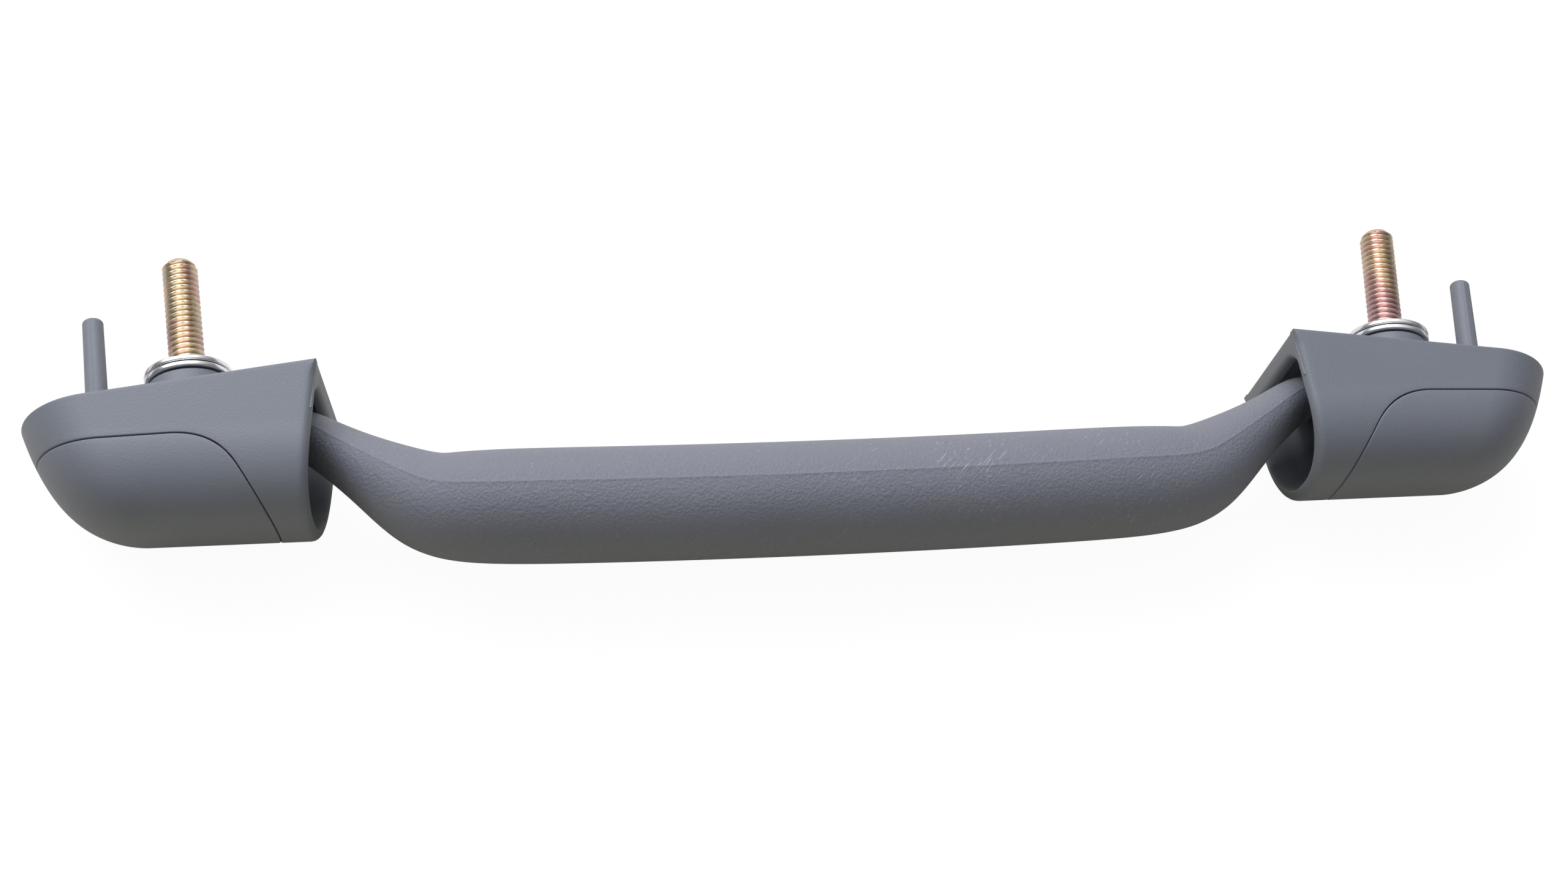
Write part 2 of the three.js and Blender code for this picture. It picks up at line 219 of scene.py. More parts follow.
def ramp(tree, factor, stops):
    """A colour ramp through (position, grey or colour) stops."""
    made = add_node(tree, "ShaderNodeValToRGB", {"Fac": factor})
    elements = made.color_ramp.elements
    for index, (position, colour) in enumerate(stops):
        element = elements[index] if index < 2 else elements.new(position)
        element.position = position
        grey = isinstance(colour, (int, float))
        element.color = (colour, colour, colour, 1) if grey else (*colour, 1)
    return made.outputs["Color"]


def new_group(name, inputs, outputs):
    """An empty node group with named (type, default) inputs and typed outputs."""
    tree = bpy.data.node_groups.new(name, "ShaderNodeTree")
    for label, (kind, default) in inputs.items():
        socket = tree.interface.new_socket(label, in_out="INPUT", socket_type=kind)
        socket.default_value = default
    for label, kind in outputs.items():
        tree.interface.new_socket(label, in_out="OUTPUT", socket_type=kind)
    given = tree.nodes.new("NodeGroupInput").outputs
    wanted = tree.nodes.new("NodeGroupOutput").inputs
    return tree, given, wanted


def use_group(tree, group, inputs):
    """Adds a shared group, links or sets its inputs, and gives its outputs."""
    return add_node(tree, "ShaderNodeGroup", inputs, node_tree=group).outputs


print("node helpers ready")

# %% [markdown]
# ## Shared effects
#
# Grain, soft mottling, and scuff marks with painted highlights on the grain turn up in
# more than one finish, so each is a group with its own named inputs. Spark-eroded
# moulds leave a leathery grain: cells with soft borders, which a smooth Voronoi pattern
# gives better than plain noise, with noise bending the cells so that they don't look tiled.

# %% Group: moulded grain
grain, given, wanted = new_group(
    "moulded grain",
    {"Cells per metre": ("NodeSocketFloat", 1200.0)},
    {"Height": "NodeSocketFloat"},
)
coordinates = add_node(grain, "ShaderNodeTexCoord").outputs["Object"]
bend = add_node(grain, "ShaderNodeTexNoise", {
    "Vector": coordinates, "Scale": 900.0, "Detail": 2.0})
bent = add_node(grain, "ShaderNodeVectorMath", {0: bend.outputs["Color"], 1: (0.0004,) * 3},
                operation="MULTIPLY")
moved = add_node(grain, "ShaderNodeVectorMath", {0: coordinates, 1: bent.outputs[0]},
                 operation="ADD")
cells = add_node(grain, "ShaderNodeTexVoronoi", {
    "Vector": moved.outputs[0], "Scale": given["Cells per metre"], "Smoothness": 0.6},
    feature="SMOOTH_F1")
dimples = add_node(grain, "ShaderNodeTexNoise", {
    "Vector": coordinates, "Scale": 5200.0, "Detail": 3.0})
height = add_node(grain, "ShaderNodeMath", {
    0: cells.outputs["Distance"], 1: dimples.outputs["Fac"]}, operation="ADD")
grain.links.new(height.outputs[0], wanted["Height"])
print("group:", grain.name)

# %% Group: mottling
mottling, given, wanted = new_group(
    "mottling",
    {"Colour": ("NodeSocketColor", (0.2, 0.2, 0.2, 1)),
     "Patches per metre": ("NodeSocketFloat", 30.0),
     "Amount": ("NodeSocketFloat", 0.1)},
    {"Colour": "NodeSocketColor", "Mask": "NodeSocketFloat"},
)
coordinates = add_node(mottling, "ShaderNodeTexCoord").outputs["Object"]
patches = add_node(mottling, "ShaderNodeTexNoise", {
    "Vector": coordinates, "Scale": given["Patches per metre"], "Detail": 5.0,
    "Roughness": 0.6})
centred = add_node(mottling, "ShaderNodeMath", {0: patches.outputs["Fac"], 1: 0.5},
                   operation="SUBTRACT")
share = add_node(mottling, "ShaderNodeMath", {0: centred.outputs[0], 1: given["Amount"]},
                 operation="MULTIPLY")
gain = add_node(mottling, "ShaderNodeMath", {0: share.outputs[0], 1: 1.0}, operation="ADD")
tinted = add_node(mottling, "ShaderNodeVectorMath", {
    0: given["Colour"], "Scale": gain.outputs[0]}, operation="SCALE")
mottling.links.new(tinted.outputs[0], wanted["Colour"])
mottling.links.new(patches.outputs["Fac"], wanted["Mask"])
print("group:", mottling.name)

# %% Group: scuff marks and painted grain highlights
scuffs_and_grain_highlights, given, wanted = new_group(
    "scuffs_and_grain_highlights",
    {"Amount": ("NodeSocketFloat", 1.0)},
    {"Mask": "NodeSocketFloat"},
)
coordinates = add_node(scuffs_and_grain_highlights, "ShaderNodeTexCoord").outputs["Object"]
slanted = add_node(scuffs_and_grain_highlights, "ShaderNodeMapping", {
    "Vector": coordinates, "Rotation": (0.0, 0.0, np.radians(48)),
    "Scale": (0.0042, 0.00034, 0.0012)}, vector_type="TEXTURE")
streaks = add_node(scuffs_and_grain_highlights, "ShaderNodeTexNoise", {
    "Vector": slanted.outputs[0], "Scale": 1.0, "Detail": 2.0})
thin = ramp(scuffs_and_grain_highlights, streaks.outputs["Fac"], [(0.64, 0.0), (0.72, 1.0)])
areas = add_node(scuffs_and_grain_highlights, "ShaderNodeTexNoise", {
    "Vector": coordinates, "Scale": 38.0, "Detail": 3.0})
where = ramp(scuffs_and_grain_highlights, areas.outputs["Fac"], [(0.52, 0.0), (0.68, 1.0)])
# Fine light specks on the grain: painted highlights, not marks on the plastic.
grain_highlight_noise = add_node(scuffs_and_grain_highlights, "ShaderNodeTexNoise", {
    "Vector": coordinates, "Scale": 1500.0, "Detail": 4.0, "Roughness": 0.7})
painted_grain_highlight = ramp(scuffs_and_grain_highlights, grain_highlight_noise.outputs["Fac"], [(0.62, 0.0), (0.72, 0.7)])
marks = add_node(scuffs_and_grain_highlights, "ShaderNodeMath", {0: thin, 1: where}, operation="MULTIPLY")
scuffs_and_highlights = add_node(scuffs_and_grain_highlights, "ShaderNodeMath", {0: marks.outputs[0], 1: painted_grain_highlight},
                     operation="MAXIMUM")
scaled = add_node(scuffs_and_grain_highlights, "ShaderNodeMath", {
    0: scuffs_and_highlights.outputs[0], 1: given["Amount"]}, operation="MULTIPLY")
scuffs_and_grain_highlights.links.new(scaled.outputs[0], wanted["Mask"])
print("group:", scuffs_and_grain_highlights.name)

# %% [markdown]
# ## Finishes
#
# Every finish is one Principled shader with its colour, gloss and bump worked out by
# nodes. The plastics are satin: a mid roughness that mottling breaks up a little, so
# that the highlights are soft and uneven as on handled plastic.

# %% Finish: plastics
HOUSING_GREY = (0.174, 0.190, 0.232, 1)
GRIP_GREY = (0.186, 0.197, 0.245, 1)


def satin_plastic(name, colour, cells, depth, gloss, scuff_and_highlight_amount):
    """Moulded plastic: mottled colour, grain of so many cells per metre and depth in
    metres, roughness between two limits, and light scuff marks with painted highlight
    specks on the grain, by an amount."""
    material = bpy.data.materials.new(name)
    material.use_nodes = True
    tree = material.node_tree
    shader = tree.nodes["Principled BSDF"]
    worn_and_highlit = use_group(tree, scuffs_and_grain_highlights, {"Amount": scuff_and_highlight_amount})["Mask"]
    base = use_group(tree, mottling, {"Colour": colour, "Patches per metre": 45.0,
                                      "Amount": 0.16})
    # The lighter colour is scuffing in the streaks and painted highlight in the fine specks on
    # the grain.
    scuffed_and_highlit = add_node(tree, "ShaderNodeMix", {
        "Factor": worn_and_highlit, 6: base["Colour"], 7: (0.55, 0.57, 0.62, 1)}, data_type="RGBA")
    tree.links.new(scuffed_and_highlit.outputs[2], shader.inputs["Base Color"])
    rough = ramp(tree, base["Mask"], [(0.3, gloss[0]), (0.7, gloss[1])])
    tree.links.new(rough, shader.inputs["Roughness"])
    height = use_group(tree, grain, {"Cells per metre": cells})["Height"]
    bump = add_node(tree, "ShaderNodeBump", {"Height": height, "Distance": depth,
                                             "Strength": 1.0})
    tree.links.new(bump.outputs[0], shader.inputs["Normal"])
    shader.inputs["Specular IOR Level"].default_value = 0.45
    return material


housing_finish = satin_plastic("satin housing plastic", HOUSING_GREY, 2600.0, 0.00003,
                               (0.46, 0.56), 0.0)
grip_finish = satin_plastic("grained grip plastic", GRIP_GREY, 1500.0, 0.00012,
                            (0.44, 0.58), 0.5)
print("finishes:", housing_finish.name, "and", grip_finish.name)

# %% [markdown]
# ## Plated metals
#
# Yellow zinc is a thin chromate film, so its gold drifts towards pink and olive as
# the film's thickness changes. A slow noise chooses the tint, and the thread's own
# height, stored on its points, darkens the roots as painted shade.

# %% Finish: yellow zinc
def plated(name, rough, depth, amount):
    """A metal finish whose gloss wanders between two roughnesses, with fine dimples of
    a depth in metres and an uneven colour by an amount."""
    material = bpy.data.materials.new(name)
    material.use_nodes = True
    tree = material.node_tree
    shader = tree.nodes["Principled BSDF"]
    shader.inputs["Metallic"].default_value = 1.0
    fine = use_group(tree, mottling, {"Colour": (1, 1, 1, 1), "Patches per metre": 350.0,
                                      "Amount": amount})
    roughness = ramp(tree, fine["Mask"], [(0.3, rough[0]), (0.7, rough[1])])
    tree.links.new(roughness, shader.inputs["Roughness"])
    bump = add_node(tree, "ShaderNodeBump", {"Height": fine["Mask"],
                                             "Distance": depth})
    tree.links.new(bump.outputs[0], shader.inputs["Normal"])
    return material, tree, shader, fine["Colour"]


zinc_yellow, tree, shader, unevenness = plated("yellow zinc", (0.3, 0.44), 0.00001, 0.2)
coordinates = add_node(tree, "ShaderNodeTexCoord").outputs["Object"]
film = add_node(tree, "ShaderNodeTexNoise", {
    "Vector": coordinates, "Scale": 130.0, "Detail": 3.0, "Distortion": 0.6})
film_colour = ramp(tree, film.outputs["Fac"], [
    (0.34, (0.70, 0.49, 0.48)), (0.44, (0.78, 0.56, 0.49)),
    (0.54, (0.84, 0.69, 0.50)), (0.66, (0.70, 0.63, 0.50))])
crest = add_node(tree, "ShaderNodeAttribute", attribute_name="crest").outputs["Fac"]
# Painted shade: the thread's roots are darker than its crests.
shade = ramp(tree, crest, [(0.0, 0.6), (0.85, 1.0)])
toned = add_node(tree, "ShaderNodeVectorMath", {0: film_colour, 1: shade},
                 operation="MULTIPLY")
uneven = add_node(tree, "ShaderNodeVectorMath", {0: toned.outputs[0], 1: unevenness},
                  operation="MULTIPLY")
tree.links.new(uneven.outputs[0], shader.inputs["Base Color"])
print("finish:", zinc_yellow.name)

# %% Finish: bright zinc and plain steel
def plain_metal(name, colour, rough, depth, amount):
    """A metal of one colour, which its mottling makes a little uneven."""
    material, tree, shader, unevenness = plated(name, rough, depth, amount)
    toned = add_node(tree, "ShaderNodeVectorMath", {0: unevenness, 1: colour},
                     operation="MULTIPLY")
    tree.links.new(toned.outputs[0], shader.inputs["Base Color"])
    return material


zinc_bright = plain_metal("bright zinc", (0.95, 0.95, 0.97), (0.22, 0.28), 0.000001, 0.05)
steel = plain_metal("rolled steel", (0.42, 0.43, 0.45), (0.36, 0.5), 0.00002, 0.3)
print("finishes:", zinc_bright.name, "and", steel.name)

# %% [markdown]
# ## The housing's form
#
# A housing and its cap are one moulded form cut in two. The form is a function of
# four numbers: how far along the straight side, how far round the outer end, how far
# down the section, and how deep inside the skin. The last one gives the hollow too,
# so the wall has a nearly even thickness without a Solidify modifier.

# %% Sizes of the housing
INNER_X = 111.2  # from the rail's middle to the housing's inner end
INNER_LEAN = 0.06
FACE_TILT = np.radians(7.6)
RIM_HALF = 18.3
SIDE_HALF = 17.4
SIDE_DEPTH = 15.4
FRONT_DEPTH = 34.1
SECTION_POWER = 0.88  # 1 makes the front an ellipse, and less makes it squarer
CREST_X = 145.0
END_REACH = 32.1
END_DROP = 8.95
END_POWER = 0.32
WALL = 2.6
INNER_SHARE = 0.25  # rounding of the wall's inner edges, as a share of the outer ones'
PER_RADIAN = 18.2  # mm of section for each radian round the front
RIDGE = PER_RADIAN * np.pi / 2  # the section's lowest point


def form(share, turn, down, inset):
    """The point on the housing's form. share goes 0 to 1 along the straight side and
    turn from a right angle to 0 round the outer end. down is 0 where the straight
    side ends, negative above it, and goes round a squared ellipse below it. The half width
    times the cosine of turn carries the point round the end."""
    over = np.maximum(down, 0) / PER_RADIAN
    front = FRONT_DEPTH - inset
    ellipse = SIDE_DEPTH + (front - SIDE_DEPTH) * np.sin(over) ** SECTION_POWER
    depth = np.where(down < 0, SIDE_DEPTH + down, ellipse)
    draft = RIM_HALF + (SIDE_HALF - RIM_HALF) * depth / SIDE_DEPTH
    half = (np.maximum(draft, SIDE_HALF) - inset) * np.abs(np.cos(over)) ** SECTION_POWER
    fall = np.clip(1 - (depth - END_DROP) / (front - END_DROP), 0, None)
    outer = CREST_X + (END_REACH - inset) * fall ** END_POWER
    start = INNER_X + INNER_LEAN * depth
    x = start + share * (outer - half - start) + half * np.cos(turn)
    return np.stack(np.broadcast_arrays(x, -depth, half * np.sin(turn)), -1)


def down_at(depth):
    """How far down the section a depth lies: the inverse of the formula in form."""
    fall = np.clip((depth - SIDE_DEPTH) / (FRONT_DEPTH - SIDE_DEPTH), 0, 1)
    sine = fall ** (1 / SECTION_POWER)
    return np.where(depth < SIDE_DEPTH, depth - SIDE_DEPTH, PER_RADIAN * np.arcsin(sine))


def share_at(x, down):
    """How far along the straight side x lies, at a place down the section."""
    start = form(0, np.pi / 2, down, 0)[..., 0]
    end = form(1, np.pi / 2, down, 0)[..., 0]
    return (x - start) / (end - start)


print("rim from", form(0, np.pi / 2, -SIDE_DEPTH, 0).round(1), "mm")

# %% [markdown]
# ## Parting line and rim
#
# The cap meets the housing along a line that runs round the outer end and curves down
# to the front near the inner end. Cutting the mesh along it would leave ragged faces,
# so the grid is drawn to follow it: one edge of each grid is the parting line itself,
# and the grid's rows fan out from it to the rim or to the front.

# %% Parting line and rim
BEND = np.array([132.0, -16.1])
BEND_LENGTH = 9.5
FALL = np.radians(2.2)
SLOPE = np.radians(58)
GAP = 0.3  # between pieces that touch on the real rail
LEVEL_END = 153.0  # x where the level run's own spacing ends
SLOPE_STEPS, BEND_STEPS, LEVEL_STEPS, ROUND_STEPS = 34, 20, 22, 44
LAST_STEPS = 4  # from the level run's end to the round outer end
CORNER = SLOPE_STEPS + BEND_STEPS // 2  # point in the middle of the bend
SETTLE = 6  # rounds that settle where a sloping line meets the form
MEASURES = 24  # points along a wall when its length is measured
QUARTER = np.pi / 2


def parting_line(gap):
    """The parting line as share, turn and down, moved towards the cap by a gap: a
    slope up from the front, a rounded bend, a nearly level run and the outer end."""
    inward = np.array([-np.cos(SLOPE), -np.sin(SLOPE)])
    outward = np.array([np.cos(FALL), -np.sin(FALL)])
    middle = (inward + outward) / np.linalg.norm(inward + outward)
    corner = BEND + middle * gap / np.sin((np.pi - SLOPE + FALL) / 2)
    slant, start = corner + inward * BEND_LENGTH, corner + outward * BEND_LENGTH
    down = np.linspace(RIDGE, down_at(-slant[1]), SLOPE_STEPS)
    depth = -form(0, QUARTER, down, 0)[:, 1]
    x = corner[0] - (depth + corner[1]) / np.tan(SLOPE)
    t = np.linspace(0, 1, BEND_STEPS)[1:, None]
    bend = slant * (1 - t) ** 2 + 2 * corner * t * (1 - t) + start * t ** 2
    level_x = np.linspace(start[0], LEVEL_END, LEVEL_STEPS)[1:]

    def level(x):
        return -corner[1] + (x - corner[0]) * np.tan(FALL)

    x = np.concatenate([x, bend[:, 0], level_x])
    depth = np.concatenate([depth, -bend[:, 1], level(level_x)])
    down = down_at(depth)
    share = share_at(x, down)
    turn = np.full_like(x, QUARTER)
    round_share = np.linspace(share[-1], 1, LAST_STEPS + 1)[1:]
    round_turn = np.linspace(QUARTER, 0, ROUND_STEPS)[1:]
    share = np.concatenate([share, round_share, np.ones_like(round_turn)])
    turn = np.concatenate([turn, np.full(LAST_STEPS, QUARTER), round_turn])
    place_down = np.full(len(share) - len(down), down[-1])
    for _ in range(SETTLE):
        at = form(share[len(down):], turn[len(down):], place_down, 0)
        place_down = down_at(level(at[:, 0]))
    return np.stack([share, turn, np.concatenate([down, place_down])])


def rim_line(line):
    """The edge opposite the parting line: up the inner end, then along the rim. The
    grid's corner falls in the middle of the parting line's bend."""
    share, turn = line[0].copy(), line[1].copy()
    share[:CORNER] = 0
    level_end = SLOPE_STEPS + BEND_STEPS + LEVEL_STEPS + LAST_STEPS - 2
    share[CORNER:level_end] = np.linspace(0, share[level_end - 1], level_end - CORNER)
    down = np.empty_like(share)
    down[:CORNER + 1] = np.linspace(RIDGE, -SIDE_DEPTH, CORNER + 1)
    rest = np.full(len(share) - CORNER, -SIDE_DEPTH)
    for _ in range(SETTLE):
        at = form(share[CORNER:], turn[CORNER:], rest, 0)
        rest = down_at((at[:, 0] - INNER_X) * np.tan(FACE_TILT))
    down[CORNER:] = rest
    return np.stack([share, turn, down])


def ridge_line(line, start):
    """The cap's far edge: the middle of its front, from start to the crest."""
    share = np.clip(line[0], share_at(start, RIDGE), 1)
    share[:SLOPE_STEPS] = share_at(start, RIDGE)
    return np.stack([share, line[1], np.full_like(share, RIDGE)])


def rounding(distance, radius):
    """How far a rounded edge falls inside the skin, at a distance from the edge."""
    rest = radius - np.clip(distance, 0, radius)
    return radius - np.sqrt(np.maximum(radius ** 2 - rest ** 2, 0))


def edge_rows(radius, steps=6):
    """Distances from an edge, close together where its rounding is steepest."""
    return radius * (1 - np.cos(np.linspace(0, QUARTER, steps)))


def wall_between(near, far, near_radius, far_radius, rows, ease=0.0):
    """Half of a moulded wall between two lines on the form, each as share, turn and
    down. Returns its outer skin, its inner skin and the strips that close its edges.
    ease gathers the rows towards the far line."""
    coarse = np.linspace(0, 1, MEASURES)[:, None]
    path = form(*(near[:, None] * (1 - coarse) + far[:, None] * coarse), 0)
    length = np.linalg.norm(np.diff(path, axis=0), axis=2).sum(0)[:, None]
    near_rows = edge_rows(near_radius) / length
    far_rows = 1 - edge_rows(far_radius)[..., ::-1] / length
    step = np.linspace(0, 1, rows)[1:-1]
    step = step * (1 - ease) + ease * np.sin(step * QUARTER)
    span = far_rows[:, :1] - near_rows[:, -1:]
    t = np.concatenate([near_rows, near_rows[:, -1:] + span * step, far_rows], axis=1)
    place_on = near[..., None] * (1 - t) + far[..., None] * t
    edge = rounding(t * length, near_radius) + rounding((1 - t) * length, far_radius)
    outer = form(*place_on, edge)
    inner = form(*place_on, WALL - edge * INNER_SHARE)
    return outer, inner, [np.stack([outer[:, i], inner[:, i]], 1) for i in (0, -1)]


print("parting line of", parting_line(0).shape[1], "points")

# %% [markdown]
# ## Lip over the grip's arch
#
# The housing's inner end is an arch that the grip's arm goes in through. A thin lip
# closes it along the wall, with round inside corners. It is a ruled bar: at each step
# along the arch a rounded section runs from the arch's edge out to the housing's.

# %% Lip
LIP_LENGTH = 2.4
LIP_HEIGHT = 4.2
LIP_RADIUS = 5.0
LIP_EDGE = 1.2  # radius of its edge at the inner end, over the grip's arm
LIP_BACK_EDGE = 0.4  # radius of its other edges
LIP_TAIL = -0.35  # angle where the arch's edge starts, buried in the wall
LIP_FLARE = 6.0  # how fast that buried start runs out into the wall
LIP_FOOT = 0.5  # how far the outer edge starts behind the arch's
ARC_POINTS, FLAT_POINTS = 12, 4  # along the arch's quarter circle and its straight
WALL_POINTS = 8  # along the outer edge, up the wall
SUNK = 0.05  # keeps joined solids from sharing a face


def lip():
    """The arch's edge is a quarter circle and a straight, and the outer edge goes up
    the wall and along the rim. Each section is a rectangle with rounded corners."""
    arc = np.linspace(LIP_TAIL, QUARTER, ARC_POINTS)
    side = LIP_HEIGHT + LIP_RADIUS
    wall_half = RIM_HALF + (SIDE_HALF - RIM_HALF) * side / SIDE_DEPTH - WALL
    arch_z = wall_half - LIP_RADIUS * (1 - np.cos(arc)) + SUNK
    arch_z = np.where(arc < 0, wall_half + LIP_FLARE * arc ** 2, arch_z)
    arch_h = side - LIP_RADIUS * np.sin(arc)
    flat = np.linspace(1, 0, FLAT_POINTS + 1)[1:]
    arch_z = np.concatenate([arch_z, arch_z[-1] * flat])
    arch_h = np.concatenate([arch_h, np.full(FLAT_POINTS, LIP_HEIGHT)])
    outer_z = np.full(len(arch_z), RIM_HALF - WALL / 2)
    outer_z[WALL_POINTS:] = np.linspace(outer_z[0], 0, len(arch_z) - WALL_POINTS)
    outer_h = np.full(len(arch_z), SUNK)
    outer_h[:WALL_POINTS] = np.linspace(arch_h[0] + LIP_FOOT, SUNK, WALL_POINTS)
    quarter = np.linspace(0, QUARTER, 6)
    back = LIP_LENGTH - LIP_BACK_EDGE
    near = np.stack([LIP_EDGE * (1 - np.sin(quarter)), LIP_EDGE * (1 - np.cos(quarter))])
    inset, rise = LIP_BACK_EDGE * (1 - np.cos(quarter)), LIP_BACK_EDGE * np.sin(quarter)
    inside_edge = np.concatenate([near, np.stack([inset, back + rise])], axis=1)
    top = np.stack([inset, LIP_BACK_EDGE * (1 - np.sin(quarter))])
    outside_edge = np.concatenate([np.stack([inset, back + rise])[:, ::-1], top], axis=1)
    width = np.hypot(outer_z - arch_z, outer_h - arch_h)[:, None]
    narrowest = LIP_EDGE + LIP_BACK_EDGE
    fit = np.minimum(1 / width, 0.5 / narrowest)  # keeps a narrow section open
    across = np.concatenate([inside_edge[0] * fit, 1 - outside_edge[0] * fit], axis=1)
    back_from_end = np.concatenate([inside_edge[1], outside_edge[1]])
    z = arch_z[:, None] * (1 - across) + outer_z[:, None] * across
    h = arch_h[:, None] * (1 - across) + outer_h[:, None] * across
    depth = h + back_from_end * np.tan(FACE_TILT)
    x = INNER_X + INNER_LEAN * depth + back_from_end
    bars = np.stack([x, -depth, z], -1)
    return skin(bars, closed=True)


print("lip", LIP_HEIGHT, "mm tall")

# %% [markdown]
# ## Round pieces
#
# Boss, peg, washers, spacer and bolt all turn about an axis square to the mounting
# face. Blender's Screw modifier could turn them, but a turned grid gives every point
# its angle and height, which the thread, the hexagon and the mould line need.

# %% Turned pieces
BOLT_U = 30.5  # from the inner end, along the mounting face
PEG_U = 50.7


def on_face(u, n, z):
    """Carries a place along, out of and across the mounting face into the rail's own
    directions, by a turn through the face's tilt."""
    x = INNER_X + u * np.cos(FACE_TILT) + n * np.sin(FACE_TILT)
    y = n * np.cos(FACE_TILT) - u * np.sin(FACE_TILT)
    return np.stack(np.broadcast_arrays(x, y, z), -1)


def turned(u, profile, steps=96, radius_change=None):
    """Turns a profile of (radius, height) rows about the axis at u. radius_change
    gives a factor for each angle, so that a round piece can carry a line."""
    angle = np.linspace(0, 2 * np.pi, steps, endpoint=False)
    radius = profile[:, :1] * (1 if radius_change is None else radius_change(angle))
    height = profile[:, 1:]
    return on_face(u + radius * np.cos(angle), height, radius * np.sin(angle))


def arc(centre, radius, start, end, steps=7):
    """Points of an arc in (radius, height), between two angles in degrees."""
    angle = np.radians(np.linspace(start, end, steps))
    return np.stack([centre[0] + radius * np.cos(angle),
                     centre[1] + radius * np.sin(angle)], -1)


def ring_profile(inner, outer, bottom, top, edge):
    """A ring's closed section, with all four edges rounded."""
    corners = [((inner + edge, bottom + edge), 180), ((outer - edge, bottom + edge), 270),
               ((outer - edge, top - edge), 0), ((inner + edge, top - edge), 90)]
    arcs = [arc(centre, edge, start, start + 90, 5) for centre, start in corners]
    return np.concatenate([*arcs, arcs[0][:1]])


print("bolt axis at", on_face(BOLT_U, 0, 0).round(1), "mm")

# %% [markdown]
# ## Inside the housing
#
# The open back shows a web that carries the load, ribs, a shelf over the grip's arm,
# the boss round the bolt and the locating peg, all moulded with the shell. They are
# drawn as solids of their own and joined by exact booleans, which also cut the bolt's
# bore through boss and web.

# %% Web, ribs, boss and peg
BOSS_TOP = 7.6
WEB_TOP = -3.1
WEB_BOTTOM = -6.1
WEB_START = 10.5
RIB_WIDTH = 2.0
RIB_RISE = 2.0
BOSS_R = 9.0
BORE_R = 6.3
PEG_HEIGHT = 28.1
PEG_ROOT_R = 2.5
PEG_TIP_R = 2.3
STRAIGHT_LENGTH = 50.0  # about the length of the housing's straight side
RIB_END = 64.2  # where the long rib ends, in the outer wall
PEG_RIB_REACH = 14.8
RIB_SUNK = 1.0  # from the web's underside up to where the ribs start
RIB_EDGE = 0.4
CROSS_DROP = 0.02  # keeps crossing ribs from sharing a top face
BOSS_FOOT_OUT = 1.5
BOSS_FOOT_R = 1.3
BOSS_EDGE = 0.6
PEG_FOOT_R = 2.0
PEG_POINT_R = 1.0
SHELF_LOW = (1.9, -2.9, -13.0)  # the shelf behind the lip, which covers the grip's arm
SHELF_HIGH = (9.5, -1.0, 13.0)


def half_slab(inset, top, bottom, start):
    """Half of a slab across the hollow, parallel to the mounting face, that ends
    inside the wall. Returns its top, its bottom and the strip round its edge."""
    share = np.concatenate([np.linspace(start, 1, 30), np.ones(31)])
    turn = np.concatenate([np.full(30, QUARTER), np.linspace(QUARTER, 0, 32)[1:]])
    layers = []
    for height in (top, bottom):
        down = np.full_like(share, -SIDE_DEPTH)
        for _ in range(SETTLE):
            x = form(share, turn, down, inset)[:, 0]
            tilt = (x - INNER_X) * np.tan(FACE_TILT)
            down = down_at(tilt - height / np.cos(FACE_TILT))
        edge = form(share, turn, down, inset)
        rows = np.linspace(0, 1, 8)[None, :, None]
        layers.append(edge[:, None] * ([1, 1, 0] + rows * [0, 0, 1]))
    return [*layers, np.stack([layers[0][:, -1], layers[1][:, -1]], 1),
            np.stack([layers[0][0], layers[1][0]], 1)]


def bar(low, high, edge):
    """A bar along the face's directions with its long upper edges rounded, drawn as a
    profile carried straight along its longer side."""
    size = np.subtract(high, low)
    along, across = (0, 2) if size[0] > size[2] else (2, 0)
    half = size[across] / 2
    corner = arc((half - edge, high[1] - edge), edge, 0, 90, 5)
    profile = np.concatenate([[[half, low[1]]], corner])
    profile = np.concatenate([profile, profile[::-1] * [-1, 1]])
    steps = np.array([low[along], high[along]])
    place_on = [None, np.broadcast_to(profile[:, 1], (2, len(profile))), None]
    place_on[along] = np.broadcast_to(steps[:, None], (2, len(profile)))
    middle = (low[across] + high[across]) / 2
    place_on[across] = np.broadcast_to(middle + profile[:, 0], (2, len(profile)))
    return on_face(*place_on)


def peg_mould_line(angle):
    """A fine raised line on the two sides of the peg, where the mould halves meet."""
    from_line = np.abs(np.abs(angle - np.pi) - QUARTER)
    return 1 + 0.035 * np.exp(-(from_line / 0.07) ** 2)


